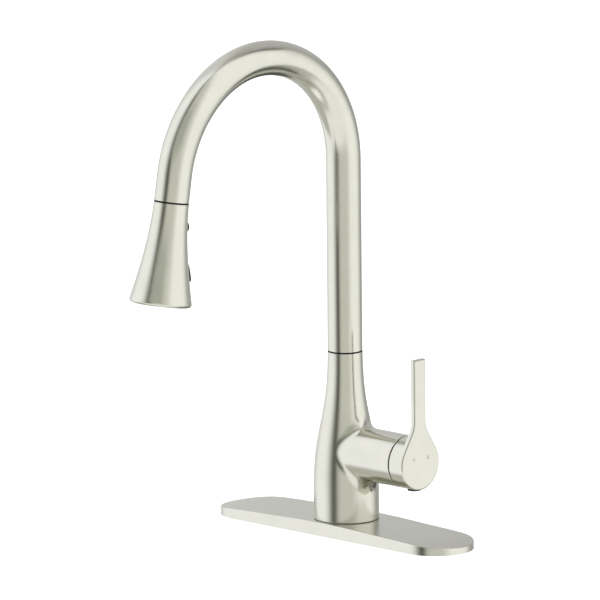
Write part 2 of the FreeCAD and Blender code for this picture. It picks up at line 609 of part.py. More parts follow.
def make_hose():
    """The braided hose from the shank to the head, and the fittings on its two ends."""
    reach = OUTLET_STRAIGHT - FERRULE_BOTTOM
    hose = swept_rod(HOSE_RADIUS, HOSE_END_Z, reach)
    keep("spray_hose", hose.cut(swept_rod(HOSE_BORE, HOSE_END_Z - 1, reach + 1)))
    insert = HOSE_BORE - 0.1

    keep("hose_end_nipple", turned([
        (2.4, HOSE_END_Z - 16), (4.2, HOSE_END_Z - 16), (4.2, HOSE_END_Z - 9), (5.0, HOSE_END_Z - 9),
        (5.0, HOSE_END_Z), (insert, HOSE_END_Z), (insert, HOSE_END_Z + 12), (2.4, HOSE_END_Z + 12),
    ]))
    keep("lower_hose_ferrule", ring(HOSE_RADIUS + 0.9, HOSE_RADIUS + 0.02, HOSE_END_Z, HOSE_END_Z + 14))
    ferrule = ring(HOSE_RADIUS + 1.0, HOSE_RADIUS + 0.05, FERRULE_BOTTOM, FERRULE_TOP)
    keep("upper_hose_ferrule", in_head(ferrule))

    tail = turned([
        (2.4, -9.0), (4.72, -9.0), (4.72, -5.2), (6.0, -5.2), (6.0, -2.8), (4.6, -2.8), (4.6, 2.0),
        (6.3, 2.0), (6.3, FERRULE_BOTTOM - 0.1), (insert, FERRULE_BOTTOM - 0.1),
        (insert, FERRULE_TOP - 1), (2.4, FERRULE_TOP - 1),
    ])
    tail = tail.cut(ring(6.0, 3.5, TAIL_SEAL_Z - 0.8, TAIL_SEAL_Z + 0.8))
    keep("hose_swivel_tail", in_head(tail))
    keep("hose_swivel_oring", in_head(torus(4.13, 0.6, TAIL_SEAL_Z)))


# ---- spray head ---------------------------------------------------------------------------------
HEAD_TOP = -DOCK_RING_THICK - 0.1
HEAD_FOOT = -HEAD_LENGTH
HEAD_FLANK = [(TUBE_RADIUS + 0.05, HEAD_TOP), (TUBE_RADIUS + 0.3, -22.0),
              (TUBE_RADIUS + 3.4, -45.0), (HEAD_RIM_RADIUS, HEAD_FOOT + HEAD_LIP_ROUND)]
CORE_RADIUS = 8.5
FACE_BOTTOM = HEAD_FOOT + 1.3
FACE_TOP = FACE_BOTTOM + 3.0
MANIFOLD_TOP = -59.0
AERATOR_RADIUS = 8.4
NOZZLE_CIRCLES = ((12.0, 16), (15.2, 22), (18.3, 28))
PLUNGER_Z = -52.0
PLUNGER_RADIUS = 2.2


def flank(inset):
    """The bell's flank, drawn in by inset, as control points."""
    return [(r - inset, z) for r, z in HEAD_FLANK]


def flank_radius(z, inset=0.0):
    """Radius of the bell's flank at height z."""
    edge = bezier(flank(inset))
    cut = edge.distToShape(Part.makeLine(V(0, 0, z), V(60, 0, z)))
    return cut[1][0][0].x


def bell(inset):
    """The space inside the bell's flank, drawn in by inset."""
    points = flank(inset)
    top, foot = points[0], points[-1]
    return turned_edges([
        line((0, top[1]), top), bezier(points), line(foot, (0, foot[1])), line((0, foot[1]), (0, top[1])),
    ])


def rocker_prism(grow, foot):
    """The rocker's outline, wider at its foot, grown all round and by foot at the bottom."""
    top, bottom = -ROCKER_TOP + grow, -ROCKER_BOTTOM - foot
    upper, lower = ROCKER_HALF_WIDTH + grow, ROCKER_FOOT_HALF_WIDTH + grow
    corners = [V(-lower, 0, bottom), V(lower, 0, bottom), V(upper, 0, top), V(-upper, 0, top)]
    return polygon_face(corners).extrude(V(0, 40, 0))


def make_head_shell():
    """The plated bell with its turned-in lip and the window for the rocker."""
    outer, inner = flank(0.0), flank(HEAD_WALL)
    lip = HEAD_RIM_RADIUS - HEAD_WALL - HEAD_LIP
    roll = HEAD_LIP_ROUND * (1 - math.sqrt(0.5))
    lip_round = Part.Arc(V(outer[-1][0], 0, outer[-1][1]), V(HEAD_RIM_RADIUS - roll, 0, HEAD_FOOT + roll),
                         V(HEAD_RIM_RADIUS - HEAD_LIP_ROUND, 0, HEAD_FOOT)).toShape()
    shell = turned_edges([
        line((9.5, HEAD_TOP), outer[0]),
        bezier(outer),
        lip_round,
        line((HEAD_RIM_RADIUS - HEAD_LIP_ROUND, HEAD_FOOT), (lip, HEAD_FOOT)),
        line((lip, HEAD_FOOT), (lip, HEAD_FOOT + 1.2)),
        line((lip, HEAD_FOOT + 1.2), (inner[-1][0], HEAD_FOOT + 1.2)),
        line((inner[-1][0], HEAD_FOOT + 1.2), inner[-1]),
        bezier(inner[::-1]),
        line(inner[0], (9.5, HEAD_TOP)),
    ])
    lid = ring(TUBE_RADIUS - HEAD_WALL + 0.3, 9.5, HEAD_TOP - 2.0, HEAD_TOP)
    shell = shell.fuse(lid).removeSplitter()
    keep("head_shell", in_head(shell.cut(rocker_prism(ROCKER_GAP, ROCKER_FOOT_GAP))))


def make_head_waterway():
    """Inlet with its nut, check valve, core and the manifold over the spray face."""
    keep("head_inlet", in_head(turned([
        (8.0, 1.6), (9.2, 1.6), (9.2, -3.6), (11.3, -3.6), (11.3, -6.0), (CORE_RADIUS, -6.0),
        (CORE_RADIUS, -22.0), (6.0, -22.0), (6.0, -11.0), (4.8, -11.0), (4.8, -5.4), (6.4, -5.4),
        (6.4, -2.6), (8.0, -2.6),
    ])))
    nut = ring(7.95, 5.0, -2.6, 1.4)
    for side in (-1, 1):
        nut = nut.cut(box(side * 6.6 - 0.9, side * 6.6 + 0.9, -1.2, 1.2, -0.2, 3))
    keep("hose_nut", in_head(nut))
    valve = turned([
        (2.3, -11.1), (5.9, -11.1), (5.9, -21.8), (1.06, -21.8), (1.06, -20.4), (3.7, -20.4),
        (3.7, -12.2), (2.3, -12.2),
    ])
    for k in range(4):
        port = cyl(0.8, -23, -20, 2.6)
        port.rotate(ORIGIN, Z_AXIS, 90 * k)
        valve = valve.cut(port)
    keep("check_valve_body", in_head(valve))
    poppet = turned([
        (0, -12.25), (3.1, -12.25), (3.1, -13.2), (1.0, -14.4), (1.0, -20.8), (0, -20.8),
    ])
    keep("check_valve_poppet", in_head(poppet))

    core = cyl(CORE_RADIUS, MANIFOLD_TOP, -22.1)
    core = core.cut(cyl(3.4, PLUNGER_Z + 3.4, -22.0))
    core = core.cut(cyl(2.2, MANIFOLD_TOP - 1, PLUNGER_Z - 3.0, 0, -4.4))
    core = core.cut(cyl(2.2, MANIFOLD_TOP - 1, PLUNGER_Z - 3.0, 0, 4.4))
    bore = Part.makeCylinder(PLUNGER_RADIUS + 0.05, 12.5, V(0, -4.0, PLUNGER_Z), Y_AXIS)
    keep("head_core", in_head(core.cut(bore)))

    outside = flank_radius(MANIFOLD_TOP - 8, HEAD_WALL) - 0.4
    face_seat = FACE_TOP + 1.1
    keep("flow_manifold", in_head(turned([
        (AERATOR_RADIUS - 1.6, MANIFOLD_TOP - 0.1), (10.6, MANIFOLD_TOP - 0.1),
        (outside, MANIFOLD_TOP - 8), (20.9, face_seat), (19.4, face_seat),
        (outside - 1.6, MANIFOLD_TOP - 9.4), (10.6, MANIFOLD_TOP - 3), (AERATOR_RADIUS + 0.1, MANIFOLD_TOP - 3),
        (AERATOR_RADIUS + 0.1, FACE_TOP + 0.1), (AERATOR_RADIUS - 1.6, FACE_TOP + 0.1),
    ])))


def nozzle_places():
    """Where the nozzles stand on the spray face."""
    places = []
    for radius, count in NOZZLE_CIRCLES:
        for k in range(count):
            a = 2 * math.pi * k / count
            places.append((radius * math.cos(a), radius * math.sin(a)))
    return places


def make_spray_face():
    """Spray face, its one-piece rubber nozzle mat and the aerator in its middle."""
    rim = HEAD_RIM_RADIUS - HEAD_WALL - 0.25
    face = cyl(rim, FACE_BOTTOM, FACE_BOTTOM + 1.6).fuse(cyl(20.4, FACE_BOTTOM, FACE_TOP))
    face = face.cut(cyl(AERATOR_RADIUS + 0.05, FACE_BOTTOM - 1, FACE_TOP + 1))
    mat = ring(20.2, AERATOR_RADIUS + 1.2, FACE_TOP + 0.02, FACE_TOP + 1.0)
    holes, nubs = [], []
    for x, y in nozzle_places():
        holes.append(cyl(1.05, FACE_BOTTOM - 1, FACE_TOP + 1, x, y))
        nub = cyl(1.0, FACE_BOTTOM, FACE_TOP + 0.5, x, y)
        tip = Part.makeCone(0.6, 1.0, 0.9, V(x, y, FACE_BOTTOM - 0.9), Z_AXIS)
        nubs += [nub, tip]
    keep("spray_face", in_head(face.removeSplitter().cut(holes)))
    mat = mat.fuse(nubs)
    bores = [cyl(0.35, FACE_BOTTOM - 2, FACE_TOP + 2, x, y) for x, y in nozzle_places()]
    keep("nozzle_mat", in_head(mat.cut(bores)))

    keep("aerator_housing", in_head(turned([
        (AERATOR_RADIUS - 1.2, FACE_BOTTOM - 0.4), (AERATOR_RADIUS, FACE_BOTTOM - 0.4),
        (AERATOR_RADIUS, FACE_TOP), (AERATOR_RADIUS - 0.9, FACE_TOP),
        (AERATOR_RADIUS - 0.9, FACE_BOTTOM + 1.4), (AERATOR_RADIUS - 1.2, FACE_BOTTOM + 1.4),
    ])))
    comb = cyl(AERATOR_RADIUS - 0.95, FACE_BOTTOM + 1.45, FACE_TOP - 0.1)
    cells = []
    pitch = 1.9
    for row in range(-4, 5):
        for col in range(-4, 5):
            x = pitch * (col + 0.5 * (row % 2))
            y = pitch * row * math.sqrt(3) / 2
            if math.hypot(x, y) < AERATOR_RADIUS - 2.1:
                cells.append(cyl(0.78, FACE_BOTTOM, FACE_TOP + 1, x, y))
    keep("aerator_screen", in_head(comb.cut(cells)))


def make_rocker():
    """The spray-mode rocker on the back of the head, its tray, pin and the plunger it pushes."""
    low, high = -ROCKER_BOTTOM, -ROCKER_TOP
    pin_z = -ROCKER_PIVOT_T
    pin_y = flank_radius(pin_z) - ROCKER_PIN_DEPTH
    tray = bell(HEAD_WALL + 0.05).cut(bell(5.1))
    tray = tray.common(rocker_prism(1.6, 1.8))
    pocket = bell(0.0).cut(bell(4.4))
    tray = tray.cut(pocket.common(rocker_prism(ROCKER_GAP, ROCKER_FOOT_GAP)))
    for side in (-1, 1):
        post = box(side * 3.0 - 0.6, side * 3.0 + 0.6, pin_y - 1.6, pin_y + 0.4, pin_z - 1.4, pin_z + 1.4)
        tray = tray.fuse(post)
    tray = tray.cut(Part.makeCylinder(ROCKER_PIN_RADIUS + 0.02, 16, V(-8, pin_y, pin_z), X_AXIS))
    tray = tray.cut(Part.makeCylinder(PLUNGER_RADIUS + 0.4, 40, V(0, 0, PLUNGER_Z), Y_AXIS))
    keep("rocker_tray", in_head(tray))
    keep("rocker_pin", in_head(Part.makeCylinder(ROCKER_PIN_RADIUS, 7.4, V(-3.7, pin_y, pin_z), X_AXIS)))

    heights = [high, -16.0, -18.5, -20.5, -23.0, -44.0, -50.0, -58.0, -60.2, low]
    proud = [0.1, 1.5, 2.3, 2.0, 0.1, 0.1, 2.4, 3.5, 3.3, 1.2]
    skin = [(flank_radius(h) + p, h) for h, p in zip(heights, proud)]
    under = [(flank_radius(h) - 1.6, h) for h in (low, -45.0, -30.0, high)]
    rocker = turned(skin + under).common(rocker_prism(0.0, 0.0))
    lug = Part.makeCylinder(1.1, 4.0, V(-2.0, pin_y, pin_z), X_AXIS)
    lug = lug.fuse(box(-2.0, 2.0, pin_y, pin_y + 2.0, pin_z - 1.1, pin_z + 1.1))
    rocker = rocker.fuse(lug)
    rocker = rocker.cut(Part.makeCylinder(ROCKER_PIN_RADIUS + 0.05, 16, V(-8, pin_y, pin_z), X_AXIS))
    keep("mode_rocker", in_head(rocker.removeSplitter()))

    reach = flank_radius(PLUNGER_Z) - 1.6 - 0.7
    plunger = Part.makeCylinder(PLUNGER_RADIUS, reach + 2.4, V(0, -2.4, PLUNGER_Z), Y_AXIS)
    waist = Part.makeCylinder(PLUNGER_RADIUS + 1, 2.4, V(0, 1.0, PLUNGER_Z), Y_AXIS)
    waist = waist.cut(Part.makeCylinder(1.4, 2.4, V(0, 1.0, PLUNGER_Z), Y_AXIS))
    keep("diverter_plunger", in_head(plunger.cut(waist)))


def main():
    """Builds every node and writes its STEP file."""
    make_deck()
    make_body()
    make_shank()
    make_cartridge()
    make_handle()
    make_spout()
    make_hose()
    make_head_shell()
    make_head_waterway()
    make_spray_face()
    make_rocker()
    os.makedirs("parts", exist_ok=True)
    for name, shape in sorted(PARTS.items()):
        if not shape.isValid():
            print("not valid:", name)
        shape.exportStep(os.path.join("parts", name + ".step"))
    print(len(PARTS), "nodes")


main()
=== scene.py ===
"""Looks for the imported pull-down kitchen faucet: finishes, hose, thread, studio and camera.

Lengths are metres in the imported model's frame: +Z up the column, +X along the deck plate towards the
lever, -Y the way the spout reaches, and the origin where the column's axis meets the deck.
"""

import logging
import math
from dataclasses import dataclass, field
from enum import Enum

import bpy
import numpy as np
from mathutils import Matrix, Vector


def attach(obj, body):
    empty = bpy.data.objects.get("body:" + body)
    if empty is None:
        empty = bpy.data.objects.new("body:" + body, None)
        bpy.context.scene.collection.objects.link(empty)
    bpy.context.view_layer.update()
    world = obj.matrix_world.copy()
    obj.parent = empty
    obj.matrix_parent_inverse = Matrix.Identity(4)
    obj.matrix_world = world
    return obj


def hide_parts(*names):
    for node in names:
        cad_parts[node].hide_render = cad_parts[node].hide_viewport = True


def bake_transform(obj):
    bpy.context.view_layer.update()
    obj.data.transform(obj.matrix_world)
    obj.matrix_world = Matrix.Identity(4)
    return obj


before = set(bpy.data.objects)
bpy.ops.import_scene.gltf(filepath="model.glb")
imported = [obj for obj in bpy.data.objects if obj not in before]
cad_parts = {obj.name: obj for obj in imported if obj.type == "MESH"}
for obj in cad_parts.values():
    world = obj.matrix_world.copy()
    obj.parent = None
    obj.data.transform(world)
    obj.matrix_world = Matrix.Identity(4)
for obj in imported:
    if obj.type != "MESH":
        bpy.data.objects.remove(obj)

MM = 0.001
LOG = logging.getLogger("faucet")

Colour = tuple[float, float, float, float]


# ---- small tools ----------------------------------------------------------------------------------
def linear(hex_colour: str) -> Colour:
    """Turns an sRGB hex colour into linear light.

    Args:
        hex_colour: six hex digits, such as "C8C6BA".

    Returns:
        Red, green, blue and an alpha of one.
    """
    channels = [int(hex_colour[i : i + 2], 16) / 255.0 for i in (0, 2, 4)]
    return (*[c / 12.92 if c <= 0.04045 else ((c + 0.055) / 1.055) ** 2.4 for c in channels], 1.0)


def add_node(
    tree: bpy.types.NodeTree, kind: str, inputs: dict[str | int, object] | None = None, **settings: object
) -> bpy.types.Node:
    """Adds one shader node with its settings, values and links.

    Args:
        tree: the node tree that gets the node.
        kind: the node's type, such as "ShaderNodeMath".
        inputs: socket name or number, to a value or to the output socket that feeds it.
        settings: properties of the node itself.

    Returns:
        The new node.
    """
    made = tree.nodes.new(kind)
    for name, value in settings.items():
        setattr(made, name, value)
    for key, value in (inputs or {}).items():
        if isinstance(value, bpy.types.NodeSocket):
            tree.links.new(value, made.inputs[key])
        else:
            made.inputs[key].default_value = value
    return made


def ring_surface(name: str, rows: np.ndarray, crisp_deg: float = 180.0) -> bpy.types.Object:
    """Makes a smooth closed surface, such as a tube's wall, from a grid of points.

    Point (i, j) is joined to (i + 1, j) and (i, j + 1), and both counts run round to their start: the
    columns go round the tube, and the rows go round its wall's section.

    Args:
        name: the piece's name.
        rows: points of shape (rows, columns, 3), in metres.
        crisp_deg: edges that turn by more than this are shaded crisp.

    Returns:
        The new object, at the origin.
    """
    count, across = rows.shape[0], rows.shape[1]
    i, j = (a.ravel() for a in np.meshgrid(np.arange(count), np.arange(across), indexing="ij"))
    here, there = i * across, (i + 1) % count * across
    j_next = (j + 1) % across
    quads = np.stack([here + j, here + j_next, there + j_next, there + j], axis=1)
    mesh = bpy.data.meshes.new(name)
    mesh.vertices.add(count * across)
    mesh.vertices.foreach_set("co", rows.astype(np.float32).ravel())
    mesh.loops.add(quads.size)
    mesh.loops.foreach_set("vertex_index", quads.astype(np.int32).ravel())
    mesh.polygons.add(len(quads))
    mesh.polygons.foreach_set("loop_start", np.arange(0, quads.size, 4, dtype=np.int32))
    mesh.polygons.foreach_set("use_smooth", np.ones(len(quads), bool))
    mesh.update(calc_edges=True)
    mesh.validate()
    if crisp_deg < 180.0:
        mesh.set_sharp_from_angle(angle=math.radians(crisp_deg))
    made = bpy.data.objects.new(name, mesh)
    bpy.context.scene.collection.objects.link(made)
    return made


def turned_rows(section: np.ndarray, columns: int) -> np.ndarray:
    """Turns a closed section of (radius, height) points about Z.

    Each point (r, h) becomes the ring (r cos a, r sin a, h) for a from 0 to a full turn.

    Args:
        section: points of shape (n, 2), anticlockwise with radius to the right, so faces point outwards.
        columns: how many points each ring has.

    Returns:
        Points of shape (n, columns, 3).
    """
    angle = np.arange(columns) * 2 * np.pi / columns
    radius, height = section[:, 0, None], section[:, 1, None]
    return np.stack([radius * np.cos(angle), radius * np.sin(angle), height + 0 * angle], axis=2)


def dress(node: str, material: bpy.types.Material) -> None:
    """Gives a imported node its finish, on its object's own material slots, and reports it."""
    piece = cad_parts[node]
    if not piece.material_slots:
        piece.data.materials.append(None)
    for slot in piece.material_slots:
        slot.link = "OBJECT"
        slot.material = material
    LOG.info("%s: %s", node, material.name)


def clothe(piece: bpy.types.Object, material: bpy.types.Material) -> None:
    """Gives a new piece its one finish, and reports it."""
    piece.data.materials.append(material)
    LOG.info("%s: %s, %d faces", piece.name, material.name, len(piece.data.polygons))


# ---- geometry that the finishes and pieces share ---------------------------------------------------
@dataclass(frozen=True)
class SpoutLine:
    """Centre line of column, bend and outlet, in the plane X = 0.

    The bend is two arcs: the rear one turns split_deg, and the front one the rest of total_deg.
    """

    bend_start: float = 295.1 * MM
    rear_radius: float = 91.9 * MM
    split_deg: float = 68.3
    front_radius: float = 94.6 * MM
    total_deg: float = 170.16
    outlet: float = 19.3 * MM

    @property
    def rear_length(self) -> float:
        """Length of the rear bend."""
        return self.rear_radius * math.radians(self.split_deg)

    @property
    def front_length(self) -> float:
        """Length of the front bend."""
        return self.front_radius * math.radians(self.total_deg - self.split_deg)

    @property
    def length(self) -> float:
        """Length from the deck plane to the dock ring."""
        return self.bend_start + self.rear_length + self.front_length + self.outlet

    @property
    def tilt(self) -> float:
        """Angle between the spray head's axis and the upright."""
        return math.pi - math.radians(self.total_deg)

    def at(self, distance: np.ndarray) -> tuple[np.ndarray, np.ndarray]:
        """Points and directions at distances along the line.

        On a bend of radius R about a centre, the point turned by angle t is centre + R (cos t, sin t),
        and the way is (-sin t, cos t), both in the YZ plane.

        Args:
            distance: distances from the deck plane, in metres.

        Returns:
            Points and unit directions, each of shape (n, 3).
        """
        s = np.asarray(distance, float)
        on_rear = np.clip((s - self.bend_start) / self.rear_radius, 0, math.radians(self.split_deg))
        past_rear = s - self.bend_start - self.rear_length
        front_turn = math.radians(self.total_deg - self.split_deg)
        on_front = np.clip(past_rear / self.front_radius, 0, front_turn)
        turn = on_rear + on_front
        split = math.radians(self.split_deg)
        y = self.rear_radius * (np.cos(on_rear) - 1)
        y += self.front_radius * (np.cos(split + on_front) - math.cos(split))
        z = self.bend_start + self.rear_radius * np.sin(on_rear)
        z += self.front_radius * (np.sin(split + on_front) - math.sin(split))
        way = np.stack([0 * s, -np.sin(turn), np.cos(turn)], axis=1)
        spare = np.minimum(s - self.bend_start, 0) + np.maximum(past_rear - self.front_length, 0)
        return np.stack([0 * s, y, z], axis=1) + way * spare[:, None], way

    def head_matrix(self) -> Matrix:
        """Carries the spray head's own frame, dock ring at zero and outlet down, to its place."""
        dock, _ = self.at(np.array([self.length]))
        return Matrix.Translation(Vector(dock[0])) @ Matrix.Rotation(-self.tilt, 4, "X")


LINE = SpoutLine()


class Grain(Enum):
    """Which way the fine lines of a brushed surface run."""

    ROUND_UPRIGHT = "rings about Z, as left by turning the column"
    ROUND_VALVE = "rings about X, as left by turning the side housing"
    ALONG_PLATE = "lines along X"
    ALONG_LEVER = "lines along Z"
    ROUND_BEND = "rings about the bent tube's own line"
    ROUND_HEAD = "rings about the spray head's axis"


# ---- finishes --------------------------------------------------------------------------------------
@dataclass(frozen=True)
class Finish:
    """A named finish that can be built into one material."""

    name: str

    def build(self) -> bpy.types.Material:
        """Builds the material.

        Returns:
            The material, with its shader joined to the output.
        """
        material = bpy.data.materials.new(self.name)
        material.use_nodes = True
        tree = material.node_tree
        tree.nodes.clear()
        shader = self.shade(tree)
        add_node(tree, "ShaderNodeOutputMaterial", {"Surface": shader.outputs["BSDF"]})
        return material

    def shade(self, tree: bpy.types.NodeTree) -> bpy.types.Node:
        """Builds the shader; each finish has its own."""
        raise NotImplementedError


@dataclass(frozen=True)
class BrushedNickel(Finish):
    """Nickel plate over brass or zinc, satin brushed with a fine belt.

    The eye sees a soft warm grey mirror: long bright and dark bands that keep fairly crisp edges, a
    faint grain along the brushing lines, and slightly uneven gloss where the belt pressed harder.
    """

    grain: Grain = Grain.ROUND_UPRIGHT
    colour: str = "D1D1C6"
    worn_colour: str = "C8C8BC"
    roughness: float = 0.2
    # real lines are about 0.1 mm apart; they are drawn at 0.7 mm so that they show
    line_mm: float = 0.7
    run_mm: float = 26.0
    line_depth_mm: float = 0.0035
    # clouds of slightly warmer plate, about as wide as a polishing stroke
    cloud_mm: float = 18.0

    def grain_vector(self, tree: bpy.types.NodeTree) -> bpy.types.NodeSocket:
        """Lays the grain's coordinates: fine across the lines and long along them.

        Args:
            tree: the material's node tree.

        Returns:
            The vector socket that a noise can read.
        """
        place = add_node(tree, "ShaderNodeTexCoord").outputs["Object"]
        fine, long = 1 / (self.line_mm * MM), 1 / (self.run_mm * MM)
        if self.grain is Grain.ROUND_BEND:
            return self.bend_vector(tree, place, fine, long)
        if self.grain is Grain.ROUND_HEAD:
            leaning = {"Vector": place, "Rotation": (LINE.tilt, 0, 0)}
            place = add_node(tree, "ShaderNodeMapping", leaning).outputs["Vector"]
        scales = {
            Grain.ROUND_UPRIGHT: (long, long, fine),
            Grain.ROUND_HEAD: (long, long, fine),
            Grain.ROUND_VALVE: (fine, long, long),
            Grain.ALONG_PLATE: (long, fine, fine),
            Grain.ALONG_LEVER: (fine, fine, long),
        }
        mapping = add_node(tree, "ShaderNodeMapping", {"Vector": place, "Scale": scales[self.grain]})
        return mapping.outputs["Vector"]

    def bend_vector(
        self, tree: bpy.types.NodeTree, place: bpy.types.NodeSocket, fine: float, long: float
    ) -> bpy.types.NodeSocket:
        """Coordinates that follow the bent tube.

        Above the bend's start, distance along the tube is the mean radius times the angle about the
        bend's centre, and the second coordinate is the distance from that centre. Below it, they are
        the height and Y.

        Args:
            tree: the material's node tree.
            place: object coordinates.
            fine: scale across the lines, per metre.
            long: scale along the lines, per metre.

        Returns:
            The vector socket.
        """
        radius = (LINE.rear_radius + LINE.front_radius) / 2
        x, y, z = add_node(tree, "ShaderNodeSeparateXYZ", {0: place}).outputs
        rise = add_node(tree, "ShaderNodeMath", {0: z, 1: LINE.bend_start}, operation="SUBTRACT").outputs[0]
        reach = add_node(tree, "ShaderNodeMath", {0: y, 1: radius}, operation="ADD").outputs[0]
        angle = add_node(tree, "ShaderNodeMath", {0: rise, 1: reach}, operation="ARCTAN2").outputs[0]
        bent = add_node(tree, "ShaderNodeMath", {0: angle, 1: radius}, operation="MULTIPLY").outputs[0]
        flat = add_node(tree, "ShaderNodeCombineXYZ", {0: rise, 1: reach}).outputs[0]
        away = add_node(tree, "ShaderNodeVectorMath", {0: flat}, operation="LENGTH").outputs["Value"]
        past = add_node(tree, "ShaderNodeMath", {0: rise, 1: 0.0}, operation="GREATER_THAN").outputs[0]
        upright = add_node(tree, "ShaderNodeCombineXYZ", {0: x, 1: reach, 2: rise}).outputs[0]
        curved = add_node(tree, "ShaderNodeCombineXYZ", {0: x, 1: away, 2: bent}).outputs[0]
        either = {0: past, 4: upright, 5: curved}
        chosen = add_node(tree, "ShaderNodeMix", either, data_type="VECTOR").outputs[1]
        mapping = add_node(tree, "ShaderNodeMapping", {"Vector": chosen, "Scale": (long, long, fine)})
        return mapping.outputs["Vector"]

    def shade(self, tree: bpy.types.NodeTree) -> bpy.types.Node:
        """Joins grain, gloss and tone.

        Args:
            tree: the material's node tree.

        Returns:
            The shader node.
        """
        grain = {"Vector": self.grain_vector(tree), "Scale": 1.0, "Detail": 3.0, "Roughness": 0.6}
        lines = add_node(tree, "ShaderNodeTexNoise", grain)
        place = add_node(tree, "ShaderNodeTexCoord").outputs["Object"]
        cloudy = {"Vector": place, "Scale": 1 / (self.cloud_mm * MM), "Detail": 2.0}
        clouds = add_node(tree, "ShaderNodeTexNoise", cloudy)
        tones = {0: clouds.outputs[0], 6: linear(self.worn_colour), 7: linear(self.colour)}
        tone = add_node(tree, "ShaderNodeMix", tones, data_type="RGBA").outputs[2]
        gloss = add_node(
            tree,
            "ShaderNodeMapRange",
            {
                "Value": lines.outputs[0],
                "From Min": 0.3,
                "From Max": 0.7,
                "To Min": self.roughness - 0.02,
                "To Max": self.roughness + 0.03,
            },
        )
        bump = add_node(
            tree,
            "ShaderNodeBump",
            {"Height": lines.outputs[0], "Strength": 1.0, "Distance": self.line_depth_mm * MM},
        )
        return add_node(
            tree,
            "ShaderNodeBsdfPrincipled",
            {
                "Base Color": tone,
                "Metallic": 1.0,
                "Roughness": gloss.outputs[0],
                "Normal": bump.outputs[0],
            },
        )


@dataclass(frozen=True)
class Moulded(Finish):
    """Injection-moulded plastic or rubber with a fine spark-eroded texture.

    The eye sees a plain body colour with a soft sheen, broken up by a texture of fine pits.
    """

    colour: str = "1A1A1A"
    shade_colour: str = "101010"
    roughness: float = 0.45
    pit_mm: float = 0.5
    pit_depth_mm: float = 0.004
    # flow marks, a little darker, from where the melt met itself
    drift_mm: float = 7.0
    ior: float = 1.49
    specular: float = 0.5

    def shade(self, tree: bpy.types.NodeTree) -> bpy.types.Node:
        """Joins colour, pits and gloss.

        Args:
            tree: the material's node tree.

        Returns:
            The shader node.
        """
        place = add_node(tree, "ShaderNodeTexCoord").outputs["Object"]
        pitted = {"Vector": place, "Scale": 1 / (self.pit_mm * MM), "Detail": 2.0}
        pits = add_node(tree, "ShaderNodeTexNoise", pitted)
        drifting = {"Vector": place, "Scale": 1 / (self.drift_mm * MM), "Detail": 1.0}
        drift = add_node(tree, "ShaderNodeTexNoise", drifting)
        tones = {0: drift.outputs[0], 6: linear(self.shade_colour), 7: linear(self.colour)}
        tone = add_node(tree, "ShaderNodeMix", tones, data_type="RGBA").outputs[2]
        gloss = add_node(
            tree,
            "ShaderNodeMapRange",
            {"Value": pits.outputs[0], "To Min": self.roughness - 0.06, "To Max": self.roughness + 0.08},
        )
        bump = add_node(
            tree,
            "ShaderNodeBump",
            {"Height": pits.outputs[0], "Strength": 1.0, "Distance": self.pit_depth_mm * MM},
        )
        return add_node(
            tree,
            "ShaderNodeBsdfPrincipled",
            {
                "Base Color": tone,
                "Roughness": gloss.outputs[0],
                "IOR": self.ior,
                "Specular IOR Level": self.specular,
                "Normal": bump.outputs[0],
            },
        )


@dataclass(frozen=True)
class MachinedMetal(Finish):
    """Bare metal turned on a lathe, such as brass fittings and stainless springs.

    The eye sees fine tool rings, a stronger colour than plate, and a few darker clouds of handling.
    """

    colour: str = "C9A468"
    dull_colour: str = "A98850"
    roughness: float = 0.3
    # tool rings are 0.6 mm apart and run 20 mm before they fade; handling clouds are 5 mm wide
    ring_mm: float = 0.6
    ring_depth_mm: float = 0.004
    run_mm: float = 20.0
    cloud_mm: float = 5.0

    def shade(self, tree: bpy.types.NodeTree) -> bpy.types.Node:
        """Joins tool rings, clouds and gloss.

        Args:
            tree: the material's node tree.

        Returns:
            The shader node.
        """
        place = add_node(tree, "ShaderNodeTexCoord").outputs["Object"]
        fine, long = 1 / (self.ring_mm * MM), 1 / (self.run_mm * MM)
        along = add_node(tree, "ShaderNodeMapping", {"Vector": place, "Scale": (long, long, fine)})
        turned = {"Vector": along.outputs[0], "Scale": 1.0, "Detail": 2.0}
        rings = add_node(tree, "ShaderNodeTexNoise", turned)
        cloudy = {"Vector": place, "Scale": 1 / (self.cloud_mm * MM), "Detail": 3.0}
        clouds = add_node(tree, "ShaderNodeTexNoise", cloudy)
        tones = {0: clouds.outputs[0], 6: linear(self.dull_colour), 7: linear(self.colour)}
        tone = add_node(tree, "ShaderNodeMix", tones, data_type="RGBA").outputs[2]
        gloss = add_node(
            tree,
            "ShaderNodeMapRange",
            {"Value": clouds.outputs[0], "To Min": self.roughness + 0.08, "To Max": self.roughness - 0.05},
        )
        bump = add_node(
            tree,
            "ShaderNodeBump",
            {"Height": rings.outputs[0], "Strength": 1.0, "Distance": self.ring_depth_mm * MM},
        )
        return add_node(
            tree,
            "ShaderNodeBsdfPrincipled",
            {
                "Base Color": tone,
                "Metallic": 1.0,
                "Roughness": gloss.outputs[0],
                "Normal": bump.outputs[0],
            },
        )


